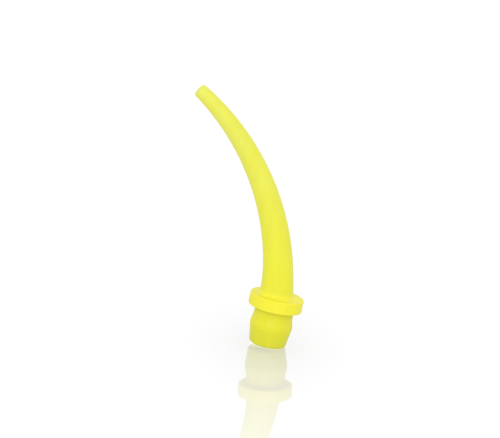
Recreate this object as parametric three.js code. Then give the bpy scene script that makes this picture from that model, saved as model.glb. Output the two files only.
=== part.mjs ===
// Curved push-on dispensing tip for a dental syringe or mixing nozzle: a bent, tapered
// spout above a finger collar, with a barrel-shaped socket below.
//
// The real tip is one polypropylene moulding with no moving parts. Its seven zones are
// separate closed solids that meet face to face, so each can be named, measured and replaced.
//
// Millimetres. The origin is the centre of the socket's mouth and +Z runs up the socket's
// axis. The spout bends towards -X and stays in the XZ plane.

import * as THREE from 'three';

// ---- driving dimensions ----

const FACETS = 40; // sides of every turned surface

// Outside of the socket, from its mouth upwards: radius at a height.
const MOUTH_RADIUS = 2.22;
const MOUTH_ROUNDING = 0.35;
const SKIRT = { radius: 2.43, height: 1.38 }; // the taper bulges a little here
const BARREL = { radius: 2.63, height: 2.49 }; // widest ring
const NECK = { radius: 2.39, height: 3.79 };

// Finger collar.
const COLLAR_BOTTOM = 4.72;
const COLLAR_TOP = 6.21;
const COLLAR_RADIUS = 3.3;
const COLLAR_ROUNDING = 0.1;

// Inside: the socket takes a 3 mm nozzle, which stops against a step inside the collar.
const BORE_MOUTH_RADIUS = 1.5;
const BORE_TOP_RADIUS = 1.45; // draft for the core pin
const LEAD_IN = 0.1; // chamfer at the mouth
const STOP_HEIGHT = 5.25;
const STOP_RADIUS = 1.3; // wider than the channel above, so the channel is never stepped in

// The spout's centreline is an arc that leaves the socket's axis at ARC_FOOT.
const ARC_RADIUS = 30.03;
const ARC_FOOT = 3.384;
const BEND = THREE.MathUtils.degToRad(57.92);
const FOOT_OUTER = 2.048; // taper of the outside, carried down to the arc's foot
const TIP_OUTER = 0.877;
const SWELL = 0.06; // the outside is this much fuller than straight, halfway along
const FILLET = 0.5; // rounds the corner between the spout and the collar
const FLARE = 0.195; // how far the outside flares where it meets the collar
const FLARE_REACH = 1.04; // the flare dies away over about this length
const ROOT_LENGTH = 2.4; // length of the flared zone
const FOOT_LUMEN = 1.25; // the channel tapers too
const TIP_LUMEN = 0.38;

// Outlet.
const LIP_LENGTH = 1.3;
const LIP_ROUNDING = 0.42; // outer edge of the end
const ORIFICE_ROUNDING = 0.06; // inner edge of the end

// ---- places along the arc, as lengths from its foot ----

const ROOT_START = ARC_RADIUS * Math.asin((COLLAR_TOP - ARC_FOOT) / ARC_RADIUS);
const ROOT_END = ROOT_START + ROOT_LENGTH;
const ROUNDING_START = ARC_RADIUS * BEND;
const OUTLET = ROUNDING_START + LIP_ROUNDING;
const LIP_START = OUTLET - LIP_LENGTH;

// ---- shared shape code ----

const point = (radius, height) => new THREE.Vector2(radius, height);

// Points of a quarter circle of an outline about (radius, height), angles in degrees.
function corner(radius, height, size, from, to, steps = 4) {
  const points = [];
  for (let i = 0; i <= steps; i++) {
    const a = THREE.MathUtils.degToRad(from + ((to - from) * i) / steps);
    points.push(point(radius + size * Math.cos(a), height + size * Math.sin(a)));
  }
  return points;
}

// A ring turned from an outer outline and an inner one, both listed from the bottom up.
// Its axis is the geometry's Y axis.
function turned(outer, inner) {
  const outline = [...outer, ...inner.slice().reverse(), outer[0]];
  return new THREE.LatheGeometry(outline, FACETS);
}

// Evenly spaced stations from start to end, no further apart than step.
function stations(start, end, step) {
  const count = Math.ceil((end - start) / step);
  return Array.from({ length: count + 1 }, (_, i) => start + ((end - start) * i) / count);
}

const taper = (foot, tip, s) => foot + ((tip - foot) * s) / ROUNDING_START;
const lumenRadius = (s) => taper(FOOT_LUMEN, TIP_LUMEN, s);
const swell = (s) => (4 * SWELL * s * (ROUNDING_START - s)) / ROUNDING_START ** 2;
const flare = (s) => FLARE * Math.exp((ROOT_START - s) / FLARE_REACH);
const fillet = (s) => {
  const left = Math.max(FILLET - (s - ROOT_START), 0);
  return FILLET - Math.sqrt(FILLET ** 2 - left ** 2);
};
const spoutRadius = (s) => taper(FOOT_OUTER, TIP_OUTER, s) + swell(s) + flare(s) + fillet(s);

// Bends a ring whose Y axis is length along the arc, so that it follows the arc. The lowest
// section stays level, flush with the collar, and the sections above it lean over to square.
function bent(geometry) {
  const position = geometry.getAttribute('position');
  for (let i = 0; i < position.count; i++) {
    const [across, s, depth] = [position.getX(i), position.getY(i), position.getZ(i)];
    const angle = s / ARC_RADIUS;
    const lean = angle * THREE.MathUtils.smoothstep(s, ROOT_START, ROOT_END);
    position.setXYZ(
      i,
      ARC_RADIUS * (Math.cos(angle) - 1) + across * Math.cos(lean),
      -depth,
      ARC_FOOT + ARC_RADIUS * Math.sin(angle) + across * Math.sin(lean),
    );
  }
  geometry.computeVertexNormals();
  return geometry;
}

// Stands a turned ring on the socket's axis, +Z up.
const upright = (geometry) => geometry.rotateX(Math.PI / 2);

// ---- the moulding's zones, from the mouth up ----

const boreRadius = (z) =>
  BORE_MOUTH_RADIUS + ((BORE_TOP_RADIUS - BORE_MOUTH_RADIUS) * z) / STOP_HEIGHT;

function socketBarrel() {
  const outer = [
    ...corner(MOUTH_RADIUS - MOUTH_ROUNDING, MOUTH_ROUNDING, MOUTH_ROUNDING, -90, 0),
    point(SKIRT.radius, SKIRT.height),
    point(BARREL.radius, BARREL.height),
    point(NECK.radius, NECK.height),
  ];
  const inner = [
    point(BORE_MOUTH_RADIUS + LEAD_IN, 0),
    point(boreRadius(LEAD_IN), LEAD_IN),
    point(boreRadius(NECK.height), NECK.height),
  ];
  return upright(turned(outer, inner));
}

function socketNeck() {
  const wall = (radiusAt) => [NECK.height, COLLAR_BOTTOM].map((z) => point(radiusAt(z), z));
  return upright(turned(wall(() => NECK.radius), wall(boreRadius)));
}

function collar() {
  const edge = COLLAR_RADIUS - COLLAR_ROUNDING;
  const outer = [
    ...corner(edge, COLLAR_BOTTOM + COLLAR_ROUNDING, COLLAR_ROUNDING, -90, 0),
    ...corner(edge, COLLAR_TOP - COLLAR_ROUNDING, COLLAR_ROUNDING, 0, 90),
  ];
  const inner = [
    point(boreRadius(COLLAR_BOTTOM), COLLAR_BOTTOM),
    point(BORE_TOP_RADIUS, STOP_HEIGHT),
    point(BORE_TOP_RADIUS, COLLAR_TOP),
  ];
  return upright(turned(outer, inner));
}

// The step that the nozzle's end seats against, inside the collar.
function nozzleStop() {
  const wall = (radius) => [STOP_HEIGHT, COLLAR_TOP].map((z) => point(radius, z));
  return upright(turned(wall(BORE_TOP_RADIUS), wall(STOP_RADIUS)));
}

// A length of the tapered spout with its sections at the given places, bent.
function spoutLength(places) {
  const wall = (radiusAt) => places.map((s) => point(radiusAt(s), s));
  return bent(turned(wall(spoutRadius), wall(lumenRadius)));
}

function spoutRoot() {
  const rise = (i) => ROOT_START + FILLET * (1 - Math.cos((i * Math.PI) / 12));
  return spoutLength([
    ...[0, 1, 2, 3, 4, 5].map(rise),
    ...stations(ROOT_START + FILLET, ROOT_END, 0.4),
  ]);
}

const curvedSpout = () => spoutLength(stations(ROOT_END, LIP_START, 1.1));

function outletLip() {
  const roundingCentre = spoutRadius(ROUNDING_START) - LIP_ROUNDING;
  const orificeCentre = lumenRadius(OUTLET) + ORIFICE_ROUNDING;
  const outer = [
    point(spoutRadius(LIP_START), LIP_START),
    ...corner(roundingCentre, ROUNDING_START, LIP_ROUNDING, 0, 90),
  ];
  const inner = [
    point(lumenRadius(LIP_START), LIP_START),
    ...corner(orificeCentre, OUTLET - ORIFICE_ROUNDING, ORIFICE_ROUNDING, 180, 90, 2),
  ];
  return bent(turned(outer, inner));
}

// ---- materials ----

// Lemon-yellow polypropylene, a little paler where the wall is thin.
const polypropylene = (color, roughness) =>
  new THREE.MeshStandardMaterial({ color, roughness, metalness: 0 });

const COLLAR_YELLOW = '#faf45c';
const SPOUT_YELLOW = '#edeb55';
const TIP_YELLOW = '#eaec65';
const SOCKET_YELLOW = '#e9e647';

// ---- assembly ----

const tip = new THREE.Group();

function add(name, geometry, color, roughness = 0.38) {
  const mesh = new THREE.Mesh(geometry, polypropylene(color, roughness));
  mesh.name = name;
  tip.add(mesh);
}

add('socket_barrel', socketBarrel(), SOCKET_YELLOW);
add('socket_neck', socketNeck(), SOCKET_YELLOW);
add('collar', collar(), COLLAR_YELLOW);
add('nozzle_stop', nozzleStop(), COLLAR_YELLOW);
add('spout_root', spoutRoot(), SPOUT_YELLOW);
add('curved_spout', curvedSpout(), SPOUT_YELLOW);
add('outlet_lip', outletLip(), TIP_YELLOW);

export default tip;
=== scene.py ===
"""Looks of the curved dispensing tip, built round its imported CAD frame.

The real tip is one polypropylene moulding. Each of its zones is a fine closed ring here, with
the fillets, parting lines and gate mark that moulding leaves, and stands for one CAD node.
"""

import math

import bpy
import numpy as np
from mathutils import Matrix, Vector

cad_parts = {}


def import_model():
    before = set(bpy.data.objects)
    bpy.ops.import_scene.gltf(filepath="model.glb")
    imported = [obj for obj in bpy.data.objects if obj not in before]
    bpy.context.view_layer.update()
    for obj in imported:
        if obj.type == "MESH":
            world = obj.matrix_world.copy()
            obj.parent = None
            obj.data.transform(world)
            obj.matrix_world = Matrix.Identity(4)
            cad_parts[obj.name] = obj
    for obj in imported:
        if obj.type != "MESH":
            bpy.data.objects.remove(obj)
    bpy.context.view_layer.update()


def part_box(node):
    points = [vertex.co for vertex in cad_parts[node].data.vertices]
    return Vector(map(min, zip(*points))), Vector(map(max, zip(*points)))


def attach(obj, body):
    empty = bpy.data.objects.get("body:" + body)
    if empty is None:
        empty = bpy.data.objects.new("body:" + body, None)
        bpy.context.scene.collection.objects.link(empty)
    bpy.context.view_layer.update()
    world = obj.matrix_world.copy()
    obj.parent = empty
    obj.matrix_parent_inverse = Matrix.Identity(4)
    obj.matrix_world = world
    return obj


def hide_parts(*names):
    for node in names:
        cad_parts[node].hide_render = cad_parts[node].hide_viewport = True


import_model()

MM = 0.001

# ---- sizes ----

# Read from the frame.
_, barrel_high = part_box("socket_barrel")
neck_low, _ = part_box("socket_neck")
collar_low, collar_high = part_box("collar")
stop_low, stop_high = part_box("nozzle_stop")
NECK_FOOT = neck_low.z
COLLAR_BOTTOM, COLLAR_TOP = collar_low.z, collar_high.z
COLLAR_RADIUS = collar_high.x
BARREL_RADIUS = barrel_high.x
BORE_TOP_RADIUS = stop_high.x
STOP_HEIGHT = stop_low.z

# Repeated from the CAD, because a box doesn't hold them.
MOUTH_RADIUS = 2.22 * MM
MOUTH_ROUNDING = 0.35 * MM
SKIRT_RADIUS, SKIRT_HEIGHT = 2.43 * MM, 1.38 * MM
BARREL_HEIGHT = 2.49 * MM
NECK_RADIUS = 2.39 * MM
SKIRT_FILLET, BARREL_FILLET = 1.5 * MM, 2.0 * MM
NECK_FOOT_RISE, NECK_FOOT_FILLET = 0.15 * MM, 0.9 * MM
NECK_TOP_FILLET, NECK_TOP_LEDGE = 0.15 * MM, 0.16 * MM
COLLAR_ROUNDING = 0.1 * MM
BORE_MOUTH_RADIUS = 1.5 * MM
LEAD_IN = 0.1 * MM
STOP_RADIUS = 1.3 * MM
ARC_RADIUS = 30.03 * MM
ARC_FOOT = 3.384 * MM
BEND = math.radians(57.92)
FOOT_OUTER, TIP_OUTER, SWELL = 2.048 * MM, 0.877 * MM, 0.06 * MM
FOOT_LUMEN, TIP_LUMEN = 1.25 * MM, 0.38 * MM
FILLET = 0.5 * MM
FLARE, FLARE_REACH = 0.195 * MM, 1.04 * MM
ROOT_LENGTH = 2.4 * MM
LIP_LENGTH = 1.3 * MM
LIP_ROUNDING = 0.42 * MM
LIP_TRIM = 0.03 * MM  # the finer curve would stand this far out of the CAD box
ORIFICE_ROUNDING = 0.06 * MM

# Moulding detail that only the looks have.
PARTING_HEIGHT = 0.02 * MM
PARTING_WIDTH = 0.05 * MM
GATE_DIMPLE_RADIUS, GATE_DIMPLE_DEPTH = 0.42 * MM, 0.12 * MM
GATE_STUB_RADIUS, GATE_STUB_HEIGHT = 0.2 * MM, 0.09 * MM
MARK_RADIUS, MARK_DEPTH = 2.86 * MM, 0.03 * MM  # ejector sleeve's ring on the collar's underside
STEP, COLLAR_STEP = 0.12 * MM, 0.035 * MM  # spacing of the rings of vertices
CROWDING = 0.75  # how much closer the sides lie at the parting lines
HALF_TURN_SIDES = 80

ROOT_START = ARC_RADIUS * math.asin((COLLAR_TOP - ARC_FOOT) / ARC_RADIUS)
ROOT_END = ROOT_START + ROOT_LENGTH
ROUNDING_START = ARC_RADIUS * BEND
OUTLET = ROUNDING_START + LIP_ROUNDING - LIP_TRIM
LIP_START = OUTLET - LIP_LENGTH


# ---- outlines ----

def filleted(corners, steps=10):
    """The outline through (radius, height, fillet) corners, each corner rounded by its fillet."""
    points = []
    for i, (radius, height, fillet) in enumerate(corners):
        here = Vector((radius, height))
        if fillet == 0:
            points.append(here)
            continue
        before = (Vector(corners[i - 1][:2]) - here).normalized()
        after = (Vector(corners[i + 1][:2]) - here).normalized()
        half = before.angle(after) / 2
        setback = fillet / math.tan(half)
        centre = here + (before + after).normalized() * (fillet / math.sin(half))
        start = here + before * setback - centre
        turn = start.angle_signed(here + after * setback - centre)
        for k in range(steps + 1):
            points.append(centre + Matrix.Rotation(-turn * k / steps, 2) @ start)
    return points


def resampled(points, step=STEP):
    """The same outline with long straight stretches divided."""
    out = [points[0]]
    for a, b in zip(points, points[1:]):
        count = max(1, math.ceil((b - a).length / step))
        out += [a.lerp(b, k / count) for k in range(1, count + 1)]
    return out


def taper(foot, tip, s):
    return foot + (tip - foot) * s / ROUNDING_START


def lumen_radius(s):
    return taper(FOOT_LUMEN, TIP_LUMEN, s)


def spout_radius(s):
    swell = 4 * SWELL * s * (ROUNDING_START - s) / ROUNDING_START**2
    flare = FLARE * math.exp((ROOT_START - s) / FLARE_REACH)
    left = max(FILLET - (s - ROOT_START), 0)
    fillet = FILLET - math.sqrt(FILLET**2 - left**2)
    return taper(FOOT_OUTER, TIP_OUTER, s) + swell + flare + fillet


def bore_radius(z):
    return BORE_MOUTH_RADIUS + (BORE_TOP_RADIUS - BORE_MOUTH_RADIUS) * z / STOP_HEIGHT


def wall(radius_at, start, end):
    """Outline points of a wall whose radius is a function of the height or length."""
    count = max(1, math.ceil((end - start) / STEP))
    stations = [start + (end - start) * k / count for k in range(count + 1)]
    return [Vector((radius_at(s), s)) for s in stations]


# ---- meshes ----

def turn_angles():
    """Angles of a full turn, closer together at the two parting lines, at 0 and 180 degrees."""
    t = np.arange(HALF_TURN_SIDES) / HALF_TURN_SIDES
    half = math.pi * (t - CROWDING * np.sin(2 * math.pi * t) / (2 * math.pi))
    return np.concatenate([half, half + math.pi])


def upright(across, along, depth):
    """Places a section point of a ring that stands on the socket's axis."""
    return across, depth, along


def on_arc(across, along, depth):
    """Places a section point of a ring that follows the spout's arc."""
    angle = along / ARC_RADIUS
    t = np.clip((along - ROOT_START) / ROOT_LENGTH, 0, 1)
    lean = angle * t * t * (3 - 2 * t)
    x = ARC_RADIUS * (np.cos(angle) - 1) + across * np.cos(lean)
    z = ARC_FOOT + ARC_RADIUS * np.sin(angle) + across * np.sin(lean)
    return x, depth, z


def ring(name, outer, inner, place, parting=True, relief=None):
    """A closed ring between an outer and an inner outline, each listed from the bottom up.

    relief(radius, along, angles) gives the outside extra radius and extra height.
    """
    outline = [*outer, *reversed(inner)]
    radius = np.array([p[0] for p in outline])[:, None]
    along = np.array([p[1] for p in outline])[:, None]
    angles = turn_angles()[None, :]
    is_outer = np.arange(len(outline))[:, None] < len(outer)
    if parting:
        from_line = radius * np.abs(np.sin(angles)) / PARTING_WIDTH
        ridge = PARTING_HEIGHT * (np.exp(-from_line**2) - 1)
        radius = radius + np.where(is_outer, ridge, 0)
    if relief:
        extra, lift = relief(radius, along, angles)
        radius = radius + np.where(is_outer, extra, 0)
        along = along + np.where(is_outer, lift, 0)
    across, depth = radius * np.cos(angles), radius * np.sin(angles)
    points = np.stack(np.broadcast_arrays(*place(across, along, depth)), axis=-1)
    rows, columns = points.shape[:2]
    index = np.arange(rows * columns).reshape(rows, columns)
    below, above = index, np.roll(index, -1, axis=0)
    faces = np.stack(
        [below, np.roll(below, -1, axis=1), np.roll(above, -1, axis=1), above], axis=-1
    )
    mesh = bpy.data.meshes.new(name)
    mesh.from_pydata(points.reshape(-1, 3).tolist(), [], faces.reshape(-1, 4).tolist())
    mesh.shade_smooth()
    mesh.set_sharp_from_angle(angle=math.radians(35))
    piece = bpy.data.objects.new(name, mesh)
    bpy.context.scene.collection.objects.link(piece)
    return piece


def socket_barrel():
    outer = filleted([
        (BORE_MOUTH_RADIUS + LEAD_IN, 0, 0),
        (MOUTH_RADIUS, 0, MOUTH_ROUNDING),
        (SKIRT_RADIUS, SKIRT_HEIGHT, SKIRT_FILLET),
        (BARREL_RADIUS, BARREL_HEIGHT, BARREL_FILLET),
        (NECK_RADIUS, NECK_FOOT - NECK_FOOT_RISE, NECK_FOOT_FILLET),
        (NECK_RADIUS, NECK_FOOT, 0),
    ])
    inner = wall(bore_radius, LEAD_IN, NECK_FOOT)
    return ring("socket_barrel", resampled(outer), inner, upright)


def socket_neck():
    outer = filleted([
        (NECK_RADIUS, NECK_FOOT, 0),
        (NECK_RADIUS, COLLAR_BOTTOM, NECK_TOP_FILLET),
        (NECK_RADIUS + NECK_TOP_LEDGE, COLLAR_BOTTOM, 0),
    ])
    inner = wall(bore_radius, NECK_FOOT, COLLAR_BOTTOM)
    return ring("socket_neck", resampled(outer), inner, upright)


def smooth_below(distance, edge, softness):
    """1 well inside the edge, 0 well outside it."""
    u = np.clip((edge + softness / 2 - distance) / softness, 0, 1)
    return u * u * (3 - 2 * u)


def collar_relief(radius, along, angles):
    """The gate's dimple and stub on the rim, and the ejector sleeve's ring underneath."""
    middle = (COLLAR_BOTTOM + COLLAR_TOP) / 2
    turn = np.where(np.cos(angles) > 0, np.sin(angles) * COLLAR_RADIUS, 1)
    from_gate = np.hypot(turn, along - middle)
    on_rim = smooth_below(COLLAR_RADIUS - radius, 0.06 * MM, 0.02 * MM)
    dimple = GATE_DIMPLE_DEPTH * smooth_below(from_gate, GATE_DIMPLE_RADIUS, 0.12 * MM)
    stub = GATE_STUB_HEIGHT * smooth_below(from_gate, GATE_STUB_RADIUS, 0.08 * MM)
    underneath = smooth_below(along - COLLAR_BOTTOM, 0.01 * MM, 0.01 * MM)
    groove = MARK_DEPTH * np.exp(-(((radius - MARK_RADIUS) / (0.05 * MM)) ** 2))
    return on_rim * (stub - dimple), underneath * groove + 0 * angles


def collar():
    outer = filleted([
        (bore_radius(COLLAR_BOTTOM), COLLAR_BOTTOM, 0),
        (COLLAR_RADIUS, COLLAR_BOTTOM, COLLAR_ROUNDING),
        (COLLAR_RADIUS, COLLAR_TOP, COLLAR_ROUNDING),
        (BORE_TOP_RADIUS, COLLAR_TOP, 0),
    ])
    inner = wall(lambda z: BORE_TOP_RADIUS, STOP_HEIGHT, COLLAR_TOP - STEP)
    return ring(
        "collar", resampled(outer, COLLAR_STEP), inner, upright, relief=collar_relief
    )


def nozzle_stop():
    def outline(radius):
        return wall(lambda z: radius, STOP_HEIGHT, COLLAR_TOP)
    return ring("nozzle_stop", outline(BORE_TOP_RADIUS), outline(STOP_RADIUS), upright, parting=False)


def spout_root():
    quarter = [ROOT_START + FILLET * (1 - math.cos(math.radians(a))) for a in range(0, 90, 6)]
    outer = [Vector((spout_radius(s), s)) for s in quarter]
    outer += wall(spout_radius, ROOT_START + FILLET, ROOT_END)
    return ring("spout_root", outer, wall(lumen_radius, ROOT_START, ROOT_END), on_arc)


def curved_spout():
    outer, inner = (wall(radius, ROOT_END, LIP_START) for radius in (spout_radius, lumen_radius))
    return ring("curved_spout", outer, inner, on_arc)


def outlet_lip():
    end_radius = lumen_radius(OUTLET) + ORIFICE_ROUNDING
    rounding_top = filleted([
        (spout_radius(ROUNDING_START - LIP_ROUNDING), ROUNDING_START - LIP_ROUNDING, 0),
        (spout_radius(ROUNDING_START), OUTLET, LIP_ROUNDING),
        (end_radius, OUTLET, 0),
    ])
    outer = wall(spout_radius, LIP_START, ROUNDING_START - LIP_ROUNDING)[:-1] + rounding_top
    inner = wall(lumen_radius, LIP_START, OUTLET - ORIFICE_ROUNDING)
    return ring("outlet_lip", outer, inner, on_arc)


# ---- materials ----

def linear(red, green, blue):
    """A Blender colour from the sRGB values that a screen shows, 0 to 255."""
    def channel(value):
        v = value / 255
        return v / 12.92 if v <= 0.04045 else ((v + 0.055) / 1.055) ** 2.4
    return (channel(red), channel(green), channel(blue), 1)


class Nodes:
    """Short forms for building a node tree."""

    def __init__(self, material):
        material.use_nodes = True
        self.tree = material.node_tree
        self.tree.nodes.clear()

    def add(self, kind, settings=None, **inputs):
        node = self.tree.nodes.new(kind)
        for key, value in (settings or {}).items():
            setattr(node, key, value)
        for key, value in inputs.items():
            self.put(node.inputs[key.replace("_", " ")], value)
        return node

    def put(self, socket, value):
        if isinstance(value, bpy.types.NodeSocket):
            self.tree.links.new(value, socket)
        else:
            socket.default_value = value

    def noise(self, vector, scale, detail=2.0, roughness=0.5):
        return self.add(
            "ShaderNodeTexNoise", Vector=vector, Scale=scale, Detail=detail, Roughness=roughness
        ).outputs["Fac"]

    def stretched(self, vector, scale):
        return self.add("ShaderNodeMapping", Vector=vector, Scale=scale).outputs["Vector"]

    def ranged(self, value, low, high, to_low, to_high):
        node = self.add("ShaderNodeMapRange", Value=value)
        keys = ("From Min", "From Max", "To Min", "To Max")
        for key, number in zip(keys, (low, high, to_low, to_high)):
            node.inputs[key].default_value = number
        return node.outputs["Result"]

    def mixed(self, factor, a, b, blend="MIX"):
        node = self.tree.nodes.new("ShaderNodeMix")
        node.data_type, node.blend_type = "RGBA", blend
        for index, value in ((0, factor), (6, a), (7, b)):
            self.put(node.inputs[index], value)
        return node.outputs[2]

    def math(self, operation, a, b):
        node = self.tree.nodes.new("ShaderNodeMath")
        node.operation = operation
        for index, value in ((0, a), (1, b)):
            self.put(node.inputs[index], value)
        return node.outputs[0]

    def finish(self, shader):
        out = self.add("ShaderNodeOutputMaterial")
        self.tree.links.new(shader, out.inputs["Surface"])


def polypropylene(name, base, deep, foot, gloss, grain, root=None):
    """Satin moulded polypropylene.

    Its pigment is a little uneven in clouds, in streaks along the flow and in fine specks. It is
    painted paler towards the tip, where the wall is thin, for the light that shines through it
    there, and painted darker towards the socket's mouth, a painted shade near the floor. Given a
    root colour, it turns to that colour low on the spout's root, a painted lighter yellow like the
    collar's. The surface has the slight orange peel of the mould and finer grain on top.
    """
    material = bpy.data.materials.new(name)
    n = Nodes(material)
    where = n.add("ShaderNodeTexCoord").outputs["Object"]
    height = n.add("ShaderNodeSeparateXYZ", Vector=where).outputs["Z"]

    clouds = n.noise(where, 260, 3)
    streaks = n.noise(n.stretched(where, (900, 900, 110)), 1, 3, 0.6)
    specks = n.noise(where, 5200, 1)
    towards_tip_painted_light = n.ranged(height, 0.010, 0.0285, 0, 1)
    towards_mouth_painted_shade = n.ranged(height, 0.0030, 0.0003, 0, 1)

    # painted light: paler towards the tip, for the light shining through the thin wall
    colour = n.mixed(towards_tip_painted_light, base, TIP_PAINTED_LIGHT)
    # painted shade: darker towards the socket's mouth, near the floor
    colour = n.mixed(towards_mouth_painted_shade, colour, foot)
    # painted light: low on the spout's root the colour turns to the collar's painted lighter yellow
    if root:
        colour = n.mixed(n.ranged(height, 0.0071, 0.0065, 0, 1), colour, root)
    colour = n.mixed(n.ranged(clouds, 0.35, 0.7, 0, 0.55), colour, deep)
    shade = n.math("ADD", n.ranged(streaks, 0.3, 0.7, 0.965, 1.02),
                   n.ranged(specks, 0.3, 0.7, -0.012, 0.012))
    grey = n.add("ShaderNodeCombineColor", Red=shade, Green=shade, Blue=shade).outputs["Color"]
    colour = n.mixed(1.0, colour, grey, "MULTIPLY")

    wear = n.noise(where, 700, 4, 0.6)
    rough = n.math("ADD", n.ranged(wear, 0.3, 0.7, gloss - 0.05, gloss + 0.06),
                   n.ranged(specks, 0.3, 0.7, -0.02, 0.02))

    peel = n.noise(where, 1500, 2)
    fine = n.noise(where, 9000, 2)
    relief = n.math("ADD", n.math("MULTIPLY", peel, 0.7), n.math("MULTIPLY", fine, grain))
    bump = n.add("ShaderNodeBump", Height=relief, Strength=0.35, Distance=0.03 * MM)

    shader = n.add("ShaderNodeBsdfPrincipled", Roughness=rough, IOR=1.49, Normal=bump.outputs["Normal"])
    n.put(shader.inputs["Base Color"], colour)
    n.put(shader.inputs["Specular IOR Level"], 0.25)
    n.finish(shader.outputs["BSDF"])
    return material


# ---- pieces ----

def finished(piece, node, material):
    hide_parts(node)
    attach(piece, "root")
    piece.data.materials.append(material)


# Painted light: the tip's paler yellow, for the light shining through its thin wall.
TIP_PAINTED_LIGHT = linear(206, 208, 90)
# Painted shade: the darker yellow towards the socket's mouth, near the floor.
MOUTH_PAINTED_SHADE = linear(199, 201, 50)
# Painted light: the collar's lighter yellow, also used low on the spout's root, for the light the thin
# flange gathers.
COLLAR_PAINTED_LIGHT_YELLOW = linear(222, 215, 52)
socket_yellow = polypropylene(
    "socket_polypropylene", linear(211, 208, 44), linear(208, 203, 36), MOUTH_PAINTED_SHADE, 0.42, 0.3
)
# Painted light: both of the collar's yellows are lighter, for the light the thin flange gathers.
collar_yellow_painted_lighter = polypropylene(
    "collar_polypropylene", COLLAR_PAINTED_LIGHT_YELLOW, linear(219, 211, 43), MOUTH_PAINTED_SHADE, 0.46, 0.5
)
spout_yellow = polypropylene(
    "spout_polypropylene", linear(212, 211, 52), linear(210, 206, 44), MOUTH_PAINTED_SHADE, 0.40, 0.3,
    root=COLLAR_PAINTED_LIGHT_YELLOW,
)
finished(socket_barrel(), "socket_barrel", socket_yellow)
finished(socket_neck(), "socket_neck", socket_yellow)
finished(collar(), "collar", collar_yellow_painted_lighter)
finished(nozzle_stop(), "nozzle_stop", socket_yellow)
finished(spout_root(), "spout_root", spout_yellow)
finished(curved_spout(), "curved_spout", spout_yellow)
finished(outlet_lip(), "outlet_lip", spout_yellow)


# ---- stage, light and camera ----

def floor():
    """A pale glossy light table.

    The tip leans a little on its rim, so the table slopes and the part keeps its own upright
    frame. The gloss fades with distance from the tip, and as the table is seen from above. The
    glow is dimmed in an oval round the tip's foot, a painted soft shadow, and below the socket's
    mouth it is brighter and yellow, a painted glow.
    """
    slope = math.radians(4.9)
    below_rim = 0.01 * MM
    up = Vector((-math.sin(slope), 0, math.cos(slope)))
    rim = Vector((MOUTH_RADIUS - MOUTH_ROUNDING, 0, MOUTH_ROUNDING)) - up * MOUTH_ROUNDING
    bpy.ops.mesh.primitive_plane_add(size=4, location=up * (up.dot(rim) - below_rim))
    plane = bpy.context.object
    plane.name = "floor"
    plane.rotation_euler.y = -slope
    material = bpy.data.materials.new("pale_floor")
    n = Nodes(material)
    where = n.add("ShaderNodeTexCoord").outputs["Object"]
    away = n.add("ShaderNodeVectorMath", {"operation": "LENGTH"}, Vector=where).outputs["Value"]
    facing = n.add("ShaderNodeLayerWeight", Blend=0.5).outputs["Facing"]
    gloss = n.math("MULTIPLY", n.ranged(away, 0, 0.089, 0.41, 0), n.ranged(facing, 0.25, 0.69, 0.08, 1))
    matte = n.add("ShaderNodeBsdfDiffuse", Color=(0.1, 0.1, 0.1, 1)).outputs["BSDF"]
    oval = n.stretched(where, (2, 1, 1))
    from_foot = n.add("ShaderNodeVectorMath", {"operation": "LENGTH"}, Vector=oval).outputs["Value"]
    # painted shadow: the floor's glow dims in an oval round the tip's foot
    shade = n.math("POWER", math.e, n.math("MULTIPLY", from_foot, -1 / 0.022))
    # painted glow: below the socket's mouth the floor glows brighter and yellow
    under = n.ranged(away, 0.0016, 0.0023, 1, 0)
    brightness = n.math("ADD", n.ranged(shade, 0, 1, 0.95, 0.68), n.math("MULTIPLY", under, 0.39))
    painted_glow_colour = n.mixed(under, (1, 1, 1, 1), (1, 1, 0.78, 1))
    glow = n.add("ShaderNodeEmission", Color=painted_glow_colour, Strength=brightness).outputs["Emission"]
    lit = n.add("ShaderNodeAddShader")
    n.tree.links.new(matte, lit.inputs[0])
    n.tree.links.new(glow, lit.inputs[1])
    mirror = n.add("ShaderNodeBsdfAnisotropic", Color=(0.9, 0.9, 0.9, 1), Roughness=0.05).outputs["BSDF"]
    mix = n.add("ShaderNodeMixShader", Fac=gloss)
    n.tree.links.new(lit.outputs["Shader"], mix.inputs[1])
    n.tree.links.new(mirror, mix.inputs[2])
    n.finish(mix.outputs["Shader"])
    plane.data.materials.append(material)


def world():
    sky = bpy.data.worlds.new("studio")
    sky.use_nodes = True
    sky.node_tree.nodes["Background"].inputs["Color"].default_value = (1, 1, 1, 1)
    sky.node_tree.nodes["Background"].inputs["Strength"].default_value = 1.17
    bpy.context.scene.world = sky


def softbox(name, location, target, size, power):
    data = bpy.data.lights.new(name, "AREA")
    data.size = size
    data.energy = power
    lamp = bpy.data.objects.new(name, data)
    lamp.location = location
    lamp.rotation_euler = (Vector(target) - Vector(location)).to_track_quat("-Z", "Y").to_euler()
    bpy.context.scene.collection.objects.link(lamp)


def camera():
    elevation, roll = math.radians(13.0), math.radians(12.06)
    distance = 0.3
    aim = Vector((-5.186, 0.172, 14.746)) * MM
    back = Vector((0, -math.cos(elevation), math.sin(elevation)))
    right = Vector((1, 0, 0))
    up = back.cross(right)
    rolled_right = right * math.cos(roll) + up * math.sin(roll)
    rolled_up = up * math.cos(roll) - right * math.sin(roll)
    data = bpy.data.cameras.new("camera")
    data.lens = 179.3
    data.sensor_width = 36
    data.clip_start, data.clip_end = 0.01, 10
    view = bpy.data.objects.new("camera", data)
    view.matrix_world = Matrix.Translation(aim + back * distance) @ Matrix(
        (rolled_right, rolled_up, back)
    ).transposed().to_4x4()
    bpy.context.scene.collection.objects.link(view)
    bpy.context.scene.camera = view


floor()
world()
softbox("key", (-0.06, -0.56, 0.24), (-0.003, 0, 0.012), 0.35, 1.1)
camera()
bpy.context.scene.view_settings.view_transform = "Standard"
